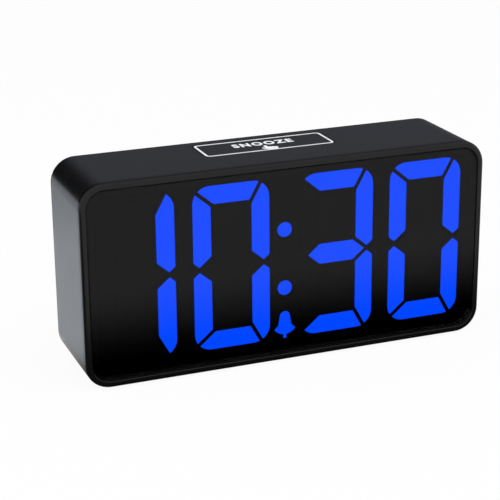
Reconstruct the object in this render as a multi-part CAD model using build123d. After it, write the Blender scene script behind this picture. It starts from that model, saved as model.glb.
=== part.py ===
from build123d import *
import math
import os

# A digital alarm clock with a large segment display, run from a low-voltage inlet and backed up by cells.
# Millimetres. Seen from the front, x runs to the right, y to the back and z up; the feet stand on z = 0.

# Whole clock
overall_width = 134.6
overall_depth = 35.6
overall_height = 66.0
corner_radius = 8.0
wall = 2.0
control_reach = 1.6
least_radius = 0.4
rounding_share = 0.9

# Fits between pieces
fit_gap = 0.15
running_gap = 0.25
rest_gap = 0.3
seat_gap = 0.1
press_gap = 0.05
cut = 1.0

# Front bezel and window
rim_depth = 2.0
rim_width = 2.1
rim_edge_radius = 1.2
rim_inner_radius = 0.3
parting_gap = 0.2
lap_wall = 1.0
lap_depth = 2.8
skirt_wall = 1.55
snap_radius = 0.8
snap_reach = 0.5
snap_length = 10.0
snap_spacing = 40.0
window_thickness = 2.0
window_recess = 0.3

# Display: reflector, digits, colon and bell
display_gap = 2.2
reflector_depth = 6.0
reflector_gap = 0.3
display_shift = -0.45
digit_margin = 1.85
digit_space = 5.95
colon_space = 10.3
stroke = 5.85
middle_stroke = 6.6
segment_gap = 1.3
strip_ratio = 3.2
digit_radius = 5.5
mitre_angle = 40.0
steep_mitre_angle = 61.0
segment_thickness = 1.5
cell_ledge = 0.6
colon_radius = 2.4
colon_spacing = 19.4
bell_crown_radius = 1.75
bell_waist_width = 5.0
bell_mouth_width = 7.1
bell_mouth_height = 3.6
bell_height = 9.1
bell_clapper_width = 1.0
bell_clapper_length = 1.3
led_length = 2.0
led_width = 1.2
led_height = 0.8
peg_radius = 1.0
peg_reach = 0.6

# Circuit boards
board_thickness = 1.6
board_edge_gap = 0.3
ledge_width = 3.0
ledge_depth = 2.0
header_pins = 10
header_pitch = 2.54
header_strip = 2.5
header_pin_width = 0.64
header_drop = 3.5

# Case, feet and screws
rear_edge_radius = 1.2
foot_height = 0.7
foot_pocket = 0.5
foot_radius = 4.5
foot_edge_radius = 0.3
foot_inset_x = 17.0
foot_inset_y = 8.5
screw_inset = 6.4
boss_radius = 3.0
rib_thickness = 1.2
cover_screw_radius = 1.05
cover_screw_length = 9.0
cover_screw_head_radius = 2.3
cover_screw_head_height = 1.5
board_screw_radius = 0.95
board_screw_length = 6.0
board_screw_head_radius = 1.9
board_screw_head_height = 1.3
drive_width = 0.7
drive_depth = 0.7
drive_ratio = 1.2

# Snooze key
snooze_length = 44.2
snooze_corner_radius = 2.2
snooze_edge_radius = 0.35
snooze_wall = 1.4
snooze_post_radius = 2.0
snooze_tab_width = 6.0
snooze_tab_reach = 1.0
snooze_tab_height = 1.2
collar_wall = 1.2
collar_depth = 3.0
collar_margin = 1.45

# Rear cover and control board
cover_recess = 0.6
cover_thickness = 2.4
screw_recess = 2.2
screw_seat = 1.4
screw_recess_radius = 2.7
post_length = 7.2
post_radius = 2.5
post_inset = 3.2
control_board_drop = 7.0
control_board_lift = 6.5
control_board_margin = 1.9
control_drop = 10.0

# Setting keys and push switches
key_width = 9.0
key_height = 5.6
key_corner_radius = 1.6
key_edge_radius = 0.5
key_flange = 1.0
key_flange_thickness = 1.0
key_stem_radius = 1.6
key_pitch = 12.0
switch_size = 6.0
switch_height = 3.5
plunger_radius = 1.7
plunger_reach = 1.5
plunger_depth = 1.5
plunger_bore = 2.4
snooze_switch_depth = 4.0
snooze_switch_lift = 1.0
snooze_switch_body = 4.5
snooze_switch_wall = 0.6
snooze_plunger_reach = 1.6

# Slide switches
slider_inset = 6.0
slider_pitch = 13.0
slider_travel = 2.0
thumb_length = 4.0
thumb_height = 3.0
thumb_setback = 0.4
thumb_groove = 0.5
thumb_grooves = 3
slider_plate = 1.0
slider_plate_lap = 0.8
tongue_length = 2.0
tongue_height = 1.6
tongue_depth = 2.0
can_length = 8.6
can_height = 4.4
can_depth = 4.7
can_slot_depth = 2.4

# Dimmer
dimmer_inset = 12.5
wheel_radius = 7.0
wheel_thickness = 3.2
wheel_edge_radius = 0.4
flute_count = 30
flute_radius = 0.45
shaft_radius = 1.25
pot_width = 10.0
pot_height = 4.0
pot_wall = 2.2
shaft_end = 0.6

# Power inlet, buzzer and other components
jack_width = 9.0
jack_height = 11.0
jack_lift = 9.5
jack_nose_radius = 4.0
jack_bore_radius = 2.85
jack_bore_depth = 9.0
jack_pin_radius = 1.0
jack_pin_setback = 1.0
buzzer_radius = 6.0
buzzer_lift = 11.0
buzzer_hole_radius = 1.2
buzzer_hole_depth = 1.5
sound_hole_radius = 0.7
sound_hole_spacing = 2.6
sound_rings = 2
chip_length = 18.0
chip_width = 7.5
chip_height = 2.3
crystal_length = 11.0
crystal_width = 4.6
crystal_height = 3.5
crystal_offset = 22.0
capacitor_radius = 3.15
capacitor_height = 5.4

# Battery bay for two small cells, side by side
cell_length = 44.5
cell_diameter = 10.5
contact_room = 5.5
cell_room = 0.5
cell_depth_room = 0.7
bay_wall = 1.2
door_lap = 2.6
flange_lap = 2.0
flange_lift = 1.5
board_cutout_gap = 1.2
pin_radius = 0.6
pin_length = 1.6
latch_width = 9.0
latch_length = 7.0
latch_slot = 0.8
latch_ridges = 4
latch_ridge_pitch = 1.3
latch_ridge_depth = 0.4
scoop_radius = 6.0
scoop_depth = 1.2
contact_thickness = 0.4
contact_size = 8.0
button_radius = 1.6
button_height = 0.6
spring_wire_radius = 0.3
spring_base_radius = 3.2
spring_height = 3.6
spring_pitch = 1.2
spring_cone_angle = 14.0

# Stations along the depth, worked out from the front to the back
front_y = -overall_depth / 2
back_y = overall_depth / 2 - control_reach
parting_y = front_y + rim_depth
case_front_y = parting_y + parting_gap
lap_back_y = case_front_y + lap_depth
window_front_y = front_y + window_recess
window_back_y = window_front_y + window_thickness
face_y = window_back_y + display_gap
display_board_front_y = face_y + reflector_depth
display_board_back_y = display_board_front_y + board_thickness
ledge_back_y = display_board_back_y + ledge_depth
cover_back_y = back_y - cover_recess
cover_front_y = cover_back_y - cover_thickness
screw_seat_y = cover_back_y - screw_recess
boss_back_y = screw_seat_y - screw_seat
control_board_back_y = cover_front_y - post_length
control_board_front_y = control_board_back_y - board_thickness

# Heights
base_z = foot_height
top_z = overall_height
middle_z = (base_z + top_z) / 2
body_height = top_z - base_z
ceiling_z = top_z - wall
floor_z = base_z + wall
control_board_top_z = ceiling_z - control_board_drop
control_board_bottom_z = floor_z + control_board_lift
control_z = control_board_top_z - control_drop

# Battery bay and the control board around it
bay_length = cell_length + contact_room
bay_height = 2 * (cell_diameter + cell_room)
bay_depth = cell_diameter + cell_depth_room
door_width = bay_length + 2 * door_lap
door_height = bay_height + 2 * door_lap
flange_width = door_width + 2 * (rest_gap + flange_lap)
flange_height = door_height + 2 * (rest_gap + flange_lap)
bay_z = floor_z + fit_gap + flange_lift + flange_height / 2
door_bottom_z = bay_z - door_height / 2
door_thickness = cover_thickness - seat_gap
hinge_y = cover_back_y - door_thickness / 2
hinge_z = door_bottom_z + door_thickness / 2
board_half_width = overall_width / 2 - screw_inset - boss_radius - control_board_margin
cutout_half_width = flange_width / 2 + board_cutout_gap
cutout_top_z = bay_z + flange_height / 2 + board_cutout_gap
leg_x = (cutout_half_width + board_half_width) / 2

# Places of the controls, seen from the front
key_places = [key_pitch * (i - 1.5) for i in range(4)]
volume_x = board_half_width - slider_inset
alarm_x = volume_x - slider_pitch
dimmer_x = dimmer_inset - board_half_width
wheel_y = overall_depth / 2 - wheel_radius
jack_x = -leg_x
jack_z = control_board_bottom_z + jack_lift
buzzer_x = leg_x
buzzer_z = control_board_bottom_z + buzzer_lift
post_places = [(x * (board_half_width - post_inset), z)
               for x in (-1, 1)
               for z in (control_board_bottom_z + post_inset, control_board_top_z - post_inset)]
screw_places = [(x * (overall_width / 2 - screw_inset), middle_z + z * (body_height / 2 - screw_inset))
                for x in (-1, 1)
                for z in (-1, 1)]

# Snooze key, between the display board and the rear cover
snooze_front_y = display_board_back_y + collar_margin + collar_wall + running_gap
snooze_back_y = cover_front_y - fit_gap - collar_wall - running_gap
snooze_depth = snooze_back_y - snooze_front_y
snooze_y = (snooze_front_y + snooze_back_y) / 2
collar_bottom_z = ceiling_z - collar_depth
snooze_tab_top_z = collar_bottom_z - rest_gap
snooze_bottom_z = snooze_tab_top_z - snooze_tab_height
snooze_switch_y = control_board_back_y + snooze_switch_depth / 2
snooze_switch_top_z = control_board_top_z + snooze_switch_lift
snooze_plunger_top_z = snooze_switch_top_z + snooze_plunger_reach

# Display layout
reflector_inset = wall + fit_gap + skirt_wall + reflector_gap
reflector_width = overall_width - 2 * reflector_inset
reflector_height = body_height - 2 * reflector_inset
digit_height = reflector_height - 2 * digit_margin
digit_width = (reflector_width - 2 * digit_margin - 2 * digit_space - colon_space) / 4
inner_digit_x = (colon_space + digit_width) / 2
outer_digit_x = inner_digit_x + digit_width + digit_space
lit_segments = {"0": "abcdef", "1": "bc", "3": "abcdg"}
digits = {"hour_tens": (display_shift - outer_digit_x, "1"),
          "hour_units": (display_shift - inner_digit_x, "0"),
          "minute_tens": (display_shift + inner_digit_x, "3"),
          "minute_units": (display_shift + outer_digit_x, "0")}


def slab(sketch, front, back):
    """A sketch drawn in x and z, made solid between two depths."""
    plane = Plane(origin=(0, back, 0), x_dir=(1, 0, 0), z_dir=(0, -1, 0))
    return extrude(plane * sketch, amount=back - front, dir=(0, -1, 0))


def layer(sketch, low, high):
    """A sketch drawn in x and y, made solid between two heights."""
    return extrude(Pos(0, 0, low) * sketch, amount=high - low, dir=(0, 0, 1))


def rounded(width, height, radius):
    """A rounded rectangle whose corners never need more room than it has."""
    return RectangleRounded(width, height, max(radius, least_radius))


def case_outline(inset):
    """The outline of the case, seen from the front, moved inwards."""
    shape = rounded(overall_width - 2 * inset, body_height - 2 * inset, corner_radius - inset)
    return Pos(0, middle_z) * shape


def disc(x, z, radius):
    """A circle drawn in x and z."""
    return Pos(x, z) * Circle(radius)


def group(shapes):
    """Separate solids kept together in one node."""
    return Compound([solid for shape in shapes for solid in shape.solids()])


def make_front_bezel():
    """A rim with a rounded front edge, a lap inside the case and a skirt that clamps the display board."""
    block = slab(case_outline(0), front_y, parting_y)
    front_edges = block.faces().sort_by(Axis.Y)[0].edges()
    bezel = fillet(front_edges, min(rim_edge_radius, rounding_share * rim_depth))
    bezel += slab(case_outline(lap_wall + fit_gap), parting_y - rim_depth / 2, lap_back_y)
    skirt_back = display_board_front_y - seat_gap
    bezel += slab(case_outline(wall + fit_gap), parting_y, skirt_back)
    bezel -= slab(case_outline(rim_width), front_y - cut, window_back_y)
    bezel -= slab(case_outline(wall + fit_gap + skirt_wall), front_y, skirt_back + cut)
    bead = Rot(0, 90, 0) * Cylinder(snap_radius, snap_length)
    for x, y, z in snap_places():
        bezel += Pos(x, y, z) * bead
    rim_face = bezel.faces().sort_by(Axis.Y)[0]
    return fillet(rim_face.inner_wires()[0].edges(), rim_inner_radius)


def snap_places():
    """Where the snap beads lie along the top and bottom of the skirt."""
    y = (lap_back_y + display_board_front_y) / 2
    reach = body_height / 2 - wall - fit_gap - snap_radius + snap_reach
    return [(x * snap_spacing, y, middle_z + z * reach) for x in (-1, 0, 1) for z in (-1, 1)]


def make_display_window():
    """A flat pane that lies in the bezel on the front end of its lap."""
    pane = slab(case_outline(rim_width + fit_gap), window_front_y, window_back_y)
    return chamfer(pane.faces().sort_by(Axis.Y)[0].edges(), seat_gap)


def cut_strip(x, z, angle):
    """A narrow strip, centred on a corner of a digit's window, that parts two segments."""
    return Pos(x, z) * Rot(0, 0, angle) * Rectangle(strip_ratio * stroke, segment_gap)


def segment_name(x, z, window_half_width):
    """The usual letter of a segment, from where its middle lies in the digit."""
    if abs(z) < middle_stroke / 2:
        return "g"
    if abs(x) < window_half_width / 2:
        return "a" if z > 0 else "d"
    if x > 0:
        return "b" if z > 0 else "c"
    return "f" if z > 0 else "e"


def digit_faces():
    """The seven segments of a digit: a rounded figure eight, parted by strips through its window corners."""
    x = digit_width / 2 - stroke
    z = digit_height / 2 - stroke
    middle = middle_stroke / 2
    figure = RectangleRounded(digit_width, digit_height, digit_radius)
    for side in (1, -1):
        figure -= Pos(0, side * (z + middle) / 2) * Rectangle(2 * x, z - middle)
    for side in (1, -1):
        figure -= cut_strip(-x, side * z, -side * mitre_angle)
        figure -= cut_strip(x, side * z, side * steep_mitre_angle)
        figure -= cut_strip(-x, side * middle, side * mitre_angle)
        figure -= cut_strip(x, side * middle, -side * mitre_angle)
    # The seven largest faces are the segments; chips left outside the crossings of the strips are not used.
    segments = figure.faces().sort_by(SortBy.AREA)[-7:]
    return {segment_name(f.center().X, f.center().Y, x): f for f in segments}


def bell_face():
    """A bell: a round crown, sides that widen to a mouth between two arcs, and a clapper below."""
    bottom = -bell_height / 2
    mouth_z = bottom + bell_clapper_length + bell_mouth_height / 2
    crown_z = bell_height / 2 - bell_crown_radius
    half_mouth = bell_mouth_width / 2
    left, right = (-half_mouth, mouth_z), (half_mouth, mouth_z)
    body = Polyline((-bell_crown_radius, crown_z), (bell_crown_radius, crown_z),
                    (bell_waist_width / 2, mouth_z), (-bell_waist_width / 2, mouth_z), close=True)
    lip = [ThreePointArc(left, (0, mouth_z + bell_mouth_height / 2), right),
           ThreePointArc(right, (0, mouth_z - bell_mouth_height / 2), left)]
    shape = Pos(0, crown_z) * Circle(bell_crown_radius) + make_face(body) + make_face(lip)
    return shape + Pos(0, (bottom + mouth_z) / 2) * Rectangle(bell_clapper_width, mouth_z - bottom)


def display_faces():
    """Every lit and unlit face of the display: (node, outline, middle of its lamp)."""
    faces = []
    outlines = digit_faces()
    for name, (x, figure) in digits.items():
        for letter, outline in outlines.items():
            state = "lit" if letter in lit_segments[figure] else "dark"
            middle = outline.center()
            lamp_place = (x + middle.X, middle_z + middle.Y)
            faces.append((f"{name}_{state}", Pos(x, middle_z) * outline, lamp_place))
    for side in (1, -1):
        place = (display_shift, middle_z + side * colon_spacing / 2)
        faces.append(("colon_dots", disc(*place, colon_radius), place))
    bell_z = middle_z - digit_height / 2 + bell_height / 2
    mouth_z = bell_z - bell_height / 2 + bell_clapper_length + bell_mouth_height / 2
    faces.append(("alarm_bell", Pos(display_shift, bell_z) * bell_face(), (display_shift, mouth_z)))
    return faces


def make_display_reflector(faces):
    """A block with a stepped cell for each face, a pocket in front of a well, and pegs at its back."""
    step_y = face_y + segment_thickness
    pockets = case_outline(reflector_inset) - [offset(face[1], amount=press_gap) for face in faces]
    wells = case_outline(reflector_inset) - [offset(face[1], amount=-cell_ledge) for face in faces]
    block = slab(pockets, face_y, step_y) + slab(wells, step_y, display_board_front_y)
    for x, z in peg_places():
        block += slab(disc(x, z, peg_radius), step_y, display_board_back_y + peg_reach)
    return block


def peg_places():
    """Where the reflector's pegs lie, in the windows of the outer digits."""
    z = digit_height / 4 - stroke / 2 + middle_stroke / 4
    return [(display_shift + x * outer_digit_x, middle_z + side * z) for x in (-1, 1) for side in (-1, 1)]


def make_segment_leds(faces):
    """One lamp on the board behind each display face."""
    lamp = Rectangle(led_length, led_width)
    front = display_board_front_y - led_height
    back = display_board_front_y
    return group([slab(Pos(*middle) * lamp, front, back) for node, outline, middle in faces])


def make_display_board():
    """The board that carries the lamps; its edge lies on the ledge in the case."""
    board = slab(case_outline(wall + board_edge_gap), display_board_front_y, display_board_back_y)
    holes = [disc(x, z, peg_radius + fit_gap) for x, z in peg_places()]
    return board - [slab(hole, display_board_front_y - cut, display_board_back_y + cut) for hole in holes]


def header_z():
    """The height of the pin header on both boards."""
    return control_board_top_z - header_drop


def make_header_strips():
    """The two plastic strips of the pin header, one on each board."""
    strip = Pos(0, header_z()) * Rectangle(header_pins * header_pitch, header_strip)
    return group([slab(strip, display_board_back_y, display_board_back_y + header_strip),
                  slab(strip, control_board_front_y - header_strip, control_board_front_y)])


def make_header_pins():
    """The row of pins between the two strips."""
    pin = Rectangle(header_pin_width, header_pin_width)
    first = -(header_pins - 1) / 2
    return group([slab(Pos((first + i) * header_pitch, header_z()) * pin,
                       display_board_back_y + header_strip, control_board_front_y - header_strip)
                  for i in range(header_pins)])


def snooze_outline(growth):
    """The outline of the snooze key, seen from above, grown on all sides."""
    shape = rounded(snooze_length + 2 * growth, snooze_depth + 2 * growth, snooze_corner_radius + growth)
    return Pos(0, snooze_y) * shape


def make_boss(x, z):
    """A screw boss in a corner of the case, with a rib to each of the two walls beside it."""
    boss = slab(disc(x, z, boss_radius), display_board_back_y, boss_back_y)
    rib_reach = screw_inset - wall / 2
    side = math.copysign(1, x)
    end = math.copysign(1, z - middle_z)
    boss += slab(Pos(x + side * rib_reach / 2, z) * Rectangle(rib_reach, rib_thickness),
                 display_board_back_y, boss_back_y)
    boss += slab(Pos(x, z + end * rib_reach / 2) * Rectangle(rib_thickness, rib_reach),
                 display_board_back_y, boss_back_y)
    depth = cover_screw_length + fit_gap
    return boss - slab(disc(x, z, cover_screw_radius + press_gap), screw_seat_y - depth, boss_back_y + cut)


def foot_places():
    """Where the four feet lie under the case."""
    x = overall_width / 2 - foot_inset_x
    middle = (case_front_y + back_y) / 2
    y = (back_y - case_front_y) / 2 - foot_inset_y
    return [(side * x, middle + end * y) for side in (-1, 1) for end in (-1, 1)]


def make_case_shell():
    """A sleeve open at both ends, with a ledge for the display board and a collar for the snooze key."""
    block = slab(case_outline(0), case_front_y, back_y)
    back_edges = block.faces().sort_by(Axis.Y)[-1].edges()
    shell = fillet(back_edges, min(rear_edge_radius, rounding_share * wall))
    shell -= slab(case_outline(wall), case_front_y - cut, back_y + cut)
    shell -= slab(case_outline(lap_wall), case_front_y - cut, lap_back_y + seat_gap)
    ledge = case_outline(wall / 2) - case_outline(wall + ledge_width)
    shell += slab(ledge, display_board_back_y, ledge_back_y)
    for x, z in screw_places:
        shell += make_boss(x, z)
    shell += layer(snooze_outline(running_gap + collar_wall), collar_bottom_z, ceiling_z + wall / 2)
    shell -= layer(snooze_outline(running_gap), collar_bottom_z - cut, top_z + cut)
    for x, y in foot_places():
        shell -= layer(Pos(x, y) * Circle(foot_radius + fit_gap), base_z - cut, base_z + foot_pocket)
    groove = Rot(0, 90, 0) * Cylinder(snap_radius + fit_gap, snap_length + 2 * running_gap)
    for x, y, z in snap_places():
        shell -= Pos(x, y, z) * groove
    return shell


def make_rubber_feet():
    """Four round feet, each let into a shallow pocket."""
    feet = []
    for x, y in foot_places():
        foot = layer(Pos(x, y) * Circle(foot_radius), 0, base_z + foot_pocket)
        feet.append(fillet(foot.faces().sort_by(Axis.Z)[0].edges(), foot_edge_radius))
    return group(feet)


def make_snooze_key():
    """A hollow bar that runs in the collar, with a post over its switch and a tab at each end."""
    key = layer(snooze_outline(0), snooze_bottom_z, top_z)
    key = fillet(key.faces().sort_by(Axis.Z)[-1].edges(), snooze_edge_radius)
    key -= layer(snooze_outline(-snooze_wall), snooze_bottom_z - cut, top_z - snooze_wall)
    post = Pos(0, snooze_switch_y) * Circle(snooze_post_radius)
    key += layer(post, snooze_plunger_top_z, top_z - snooze_wall / 2)
    tab_length = snooze_length + 2 * (snooze_tab_reach + running_gap)
    tabs = Pos(0, snooze_y) * (Rectangle(tab_length, snooze_tab_width)
                               - Rectangle(snooze_length - snooze_wall, snooze_tab_width))
    return key + layer(tabs, snooze_bottom_z, snooze_tab_top_z)


def make_snooze_switch():
    """An upright push switch at the top edge of the control board."""
    bottom = snooze_switch_top_z - snooze_switch_body
    outline = Pos(0, snooze_switch_y) * Rectangle(switch_size, snooze_switch_depth)
    bore = Pos(0, snooze_switch_y) * Circle(snooze_plunger_radius() + fit_gap)
    body = layer(outline, bottom, snooze_switch_top_z)
    return body - layer(bore, snooze_switch_top_z - plunger_bore, snooze_switch_top_z + cut)


def snooze_plunger_radius():
    """The snooze switch is slim, so its plunger leaves a wall on each side."""
    return snooze_switch_depth / 2 - snooze_switch_wall


def make_snooze_plunger():
    """The plunger of the snooze switch."""
    return layer(Pos(0, snooze_switch_y) * Circle(snooze_plunger_radius()),
                 snooze_switch_top_z - plunger_depth, snooze_plunger_top_z)


def key_outline(x, growth):
    """The outline of a setting key, seen along its travel, grown on all sides."""
    shape = rounded(key_width + 2 * growth, key_height + 2 * growth, key_corner_radius + growth)
    return Pos(x, control_z) * shape


def make_key(x):
    """A setting key: a cap through the cover, a flange behind it and a stem on its switch."""
    flange_back = cover_front_y - rest_gap
    flange_front = flange_back - key_flange_thickness
    switch_top = control_board_back_y + switch_height + plunger_reach
    key = slab(key_outline(x, 0), flange_front, back_y + control_reach)
    key = fillet(key.faces().sort_by(Axis.Y)[-1].edges(), key_edge_radius)
    key += slab(key_outline(x, key_flange), flange_front, flange_back)
    return key + slab(disc(x, control_z, key_stem_radius), switch_top, flange_front)


def make_key_switches():
    """The four square push switches behind the setting keys."""
    body = Rectangle(switch_size, switch_size)
    top = control_board_back_y + switch_height
    switches = []
    for x in key_places:
        switch = slab(Pos(x, control_z) * body, control_board_back_y, top)
        bore = disc(x, control_z, plunger_radius + fit_gap)
        switches.append(switch - slab(bore, top - plunger_bore, top + cut))
    return group(switches)


def make_plunger(x):
    """The plunger of one push switch."""
    top = control_board_back_y + switch_height
    return slab(disc(x, control_z, plunger_radius), top - plunger_depth, top + plunger_reach)


def make_slider(x):
    """A slide knob at the left end of its slot: a grooved thumb, a plate behind the slot and a tongue."""
    rest_x = x - slider_travel / 2
    plate_back = cover_front_y - rest_gap
    plate_front = plate_back - slider_plate
    thumb_back = back_y + control_reach - thumb_setback
    slot_length = thumb_length + slider_travel + 2 * running_gap
    plate_length = slot_length + slider_travel + 2 * slider_plate_lap
    plate_height = thumb_height + 2 * (running_gap + slider_plate_lap)
    slider = slab(Pos(rest_x, control_z) * Rectangle(thumb_length, thumb_height), plate_front, thumb_back)
    slider += slab(Pos(rest_x, control_z) * Rectangle(plate_length, plate_height), plate_front, plate_back)
    tongue_front = control_board_back_y + can_depth - tongue_depth
    tongue = Rectangle(tongue_length, tongue_height)
    slider += slab(Pos(rest_x, control_z) * tongue, tongue_front, plate_front)
    groove_pitch = thumb_length / (thumb_grooves + 1)
    for i in range(thumb_grooves):
        groove_x = rest_x + (i + 1) * groove_pitch - thumb_length / 2
        groove = Pos(groove_x, control_z) * Rectangle(thumb_groove, thumb_height + cut)
        slider -= slab(groove, thumb_back - thumb_groove, thumb_back + cut)
    return slider


def make_slide_switch(x):
    """The metal can of a slide switch, with the slot that its tongue runs in."""
    top = control_board_back_y + can_depth
    can = slab(Pos(x, control_z) * Rectangle(can_length, can_height), control_board_back_y, top)
    slot = Rectangle(tongue_length + slider_travel + 2 * running_gap, tongue_height + 2 * running_gap)
    return can - slab(Pos(x, control_z) * slot, top - can_slot_depth, top + cut)


def make_dimmer_wheel():
    """A thumb wheel with flutes round its rim, on an upright shaft."""
    low = control_z - wheel_thickness / 2
    high = control_z + wheel_thickness / 2
    wheel = layer(Pos(dimmer_x, wheel_y) * Circle(wheel_radius), low, high)
    wheel = chamfer(wheel.edges().filter_by(GeomType.CIRCLE), wheel_edge_radius)
    flutes = [layer(Pos(dimmer_x, wheel_y) * place * Circle(flute_radius), low - cut, high + cut)
              for place in PolarLocations(wheel_radius, flute_count)]
    wheel -= flutes
    return wheel - layer(Pos(dimmer_x, wheel_y) * Circle(shaft_radius + press_gap), low - cut, high + cut)


def pot_top_z():
    """The top of the potentiometer, just under the wheel."""
    return control_z - wheel_thickness / 2 - rest_gap


def make_dimmer_shaft():
    """The shaft that carries the wheel and turns in the potentiometer."""
    bottom = pot_top_z() - pot_height + shaft_end
    return layer(Pos(dimmer_x, wheel_y) * Circle(shaft_radius), bottom, control_z + wheel_thickness / 2)


def make_dimmer_pot():
    """The potentiometer's body, on the control board."""
    depth = wheel_y + pot_wall - control_board_back_y
    place = Pos(dimmer_x, control_board_back_y + depth / 2)
    body = layer(place * Rectangle(pot_width, depth), pot_top_z() - pot_height, pot_top_z())
    bore = Pos(dimmer_x, wheel_y) * Circle(shaft_radius + press_gap)
    return body - layer(bore, pot_top_z() - pot_height + shaft_end, pot_top_z() + cut)


def make_dc_jack():
    """The power inlet: a block on the control board with a round nose in the cover."""
    block = Pos(jack_x, jack_z) * Rectangle(jack_width, jack_height)
    jack = slab(block, control_board_back_y, cover_front_y - fit_gap)
    jack += slab(disc(jack_x, jack_z, jack_nose_radius), control_board_back_y, cover_back_y)
    bore = disc(jack_x, jack_z, jack_bore_radius)
    return jack - slab(bore, cover_back_y - jack_bore_depth, cover_back_y + cut)


def make_dc_jack_pin():
    """The centre pin of the power inlet."""
    outline = disc(jack_x, jack_z, jack_pin_radius)
    pin = slab(outline, cover_back_y - jack_bore_depth, cover_back_y - jack_pin_setback)
    return fillet(pin.faces().sort_by(Axis.Y)[-1].edges(), jack_pin_radius / 2)


def make_buzzer():
    """A round buzzer with its sound hole towards the cover."""
    top = cover_front_y - rest_gap
    body = slab(disc(buzzer_x, buzzer_z, buzzer_radius), control_board_back_y, top)
    return body - slab(disc(buzzer_x, buzzer_z, buzzer_hole_radius), top - buzzer_hole_depth, top + cut)


def sound_hole_places():
    """A hole over the middle of the buzzer and rings of holes around it."""
    places = [(buzzer_x, buzzer_z)]
    for ring in range(1, sound_rings + 1):
        for i in range(6 * ring):
            angle = 2 * math.pi * i / (6 * ring)
            radius = ring * sound_hole_spacing
            places.append((buzzer_x + radius * math.cos(angle), buzzer_z + radius * math.sin(angle)))
    return places


def make_control_board():
    """A board that goes round the battery bay on three sides, with a slot for the wheel and screw holes."""
    height = control_board_top_z - control_board_bottom_z
    outline = Pos(0, control_board_bottom_z + height / 2) * Rectangle(2 * board_half_width, height)
    cutout_height = cutout_top_z - control_board_bottom_z + cut
    outline -= Pos(0, cutout_top_z - cutout_height / 2) * Rectangle(2 * cutout_half_width, cutout_height)
    slot = Rectangle(2 * (wheel_radius + running_gap), wheel_thickness + 2 * running_gap)
    outline -= Pos(dimmer_x, control_z) * slot
    for x, z in post_places:
        outline -= disc(x, z, board_screw_radius + fit_gap)
    return slab(outline, control_board_front_y, control_board_back_y)


def make_screw(x, z, seat_y, direction, radius, length, head_radius, head_height):
    """A round-headed screw with a cross recess: its head on a seat, its shank along y either way."""
    def span(start, end):
        return min(seat_y + direction * start, seat_y + direction * end), \
            max(seat_y + direction * start, seat_y + direction * end)
    screw = slab(disc(x, z, radius), *span(-head_height / 2, length))
    head = slab(disc(x, z, head_radius), *span(-head_height, 0))
    outer = head.faces().sort_by(Axis.Y)[0 if direction > 0 else -1]
    head = fillet(outer.edges(), head_height / 2)
    drive_span = drive_ratio * head_radius
    cross = Rectangle(drive_span, drive_width) + Rectangle(drive_width, drive_span)
    return screw + head - slab(Pos(x, z) * cross, *span(-head_height - cut, drive_depth - head_height))


def make_cover_screws():
    """The four screws that hold the rear cover to the case."""
    return group([make_screw(x, z, screw_seat_y, -1, cover_screw_radius, cover_screw_length,
                             cover_screw_head_radius, cover_screw_head_height) for x, z in screw_places])


def make_board_screws():
    """The four screws that hold the control board to the posts of the cover."""
    return group([make_screw(x, z, control_board_front_y, 1, board_screw_radius, board_screw_length,
                             board_screw_head_radius, board_screw_head_height) for x, z in post_places])


def door_opening():
    """The opening that the battery door lies in."""
    return Pos(0, bay_z) * Rectangle(door_width + 2 * rest_gap, door_height + 2 * rest_gap)


def wheel_slot():
    """The slot in the cover that the dimmer wheel shows through."""
    reach = wheel_radius + running_gap
    half_length = math.sqrt(reach ** 2 - (cover_front_y - wheel_y) ** 2)
    return Pos(dimmer_x, control_z) * Rectangle(2 * half_length, wheel_thickness + 2 * running_gap)


def make_rear_cover():
    """The back panel: openings for the controls, cups for the corner screws and posts for the board."""
    outline = case_outline(wall + fit_gap)
    cover = slab(outline, cover_front_y, cover_back_y)
    for x, z in screw_places:
        cover += slab(disc(x, z, boss_radius + rib_thickness) & outline, boss_back_y, cover_front_y + cut)
    for x, z in post_places:
        cover += slab(disc(x, z, post_radius), control_board_back_y, cover_front_y + cut)
    through = [key_outline(x, running_gap) for x in key_places]
    slot_length = thumb_length + slider_travel + 2 * running_gap
    through += [Pos(x, control_z) * Rectangle(slot_length, thumb_height + 2 * running_gap)
                for x in (alarm_x, volume_x)]
    through += [wheel_slot(), disc(jack_x, jack_z, jack_nose_radius + running_gap), door_opening()]
    through += [disc(x, z, sound_hole_radius) for x, z in sound_hole_places()]
    cover -= [slab(hole, cover_front_y - cut, cover_back_y + cut) for hole in through]
    cover -= [slab(disc(x, z, screw_recess_radius), screw_seat_y, cover_back_y + cut)
              for x, z in screw_places]
    cover -= [slab(disc(x, z, cover_screw_radius + running_gap), boss_back_y - cut, screw_seat_y + cut)
              for x, z in screw_places]
    pilot = board_screw_radius + press_gap
    pilot_end = control_board_front_y + board_screw_length + fit_gap
    cover -= [slab(disc(x, z, pilot), control_board_back_y - cut, pilot_end) for x, z in post_places]
    scoop_z = bay_z + door_height / 2
    cover -= slab(disc(0, scoop_z, scoop_radius), cover_back_y - scoop_depth, cover_back_y + cut)
    pin_reach = door_width / 2 + rest_gap + pin_length
    return cover - Pos(0, hinge_y, hinge_z) * Rot(0, 90, 0) * Cylinder(pin_radius + seat_gap, 2 * pin_reach)


def make_battery_box():
    """A tray for two cells, with a flange on the inside of the cover that the door closes against."""
    mouth = Pos(0, bay_z) * Rectangle(bay_length, bay_height)
    tray = Pos(0, bay_z) * Rectangle(bay_length + 2 * bay_wall, bay_height + 2 * bay_wall)
    flange = Pos(0, bay_z) * Rectangle(flange_width, flange_height)
    box = slab(tray, cover_front_y - bay_depth - bay_wall, cover_front_y)
    box += slab(flange, cover_front_y - bay_wall, cover_front_y)
    return box - slab(mouth, cover_front_y - bay_depth, cover_front_y + cut)


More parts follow.
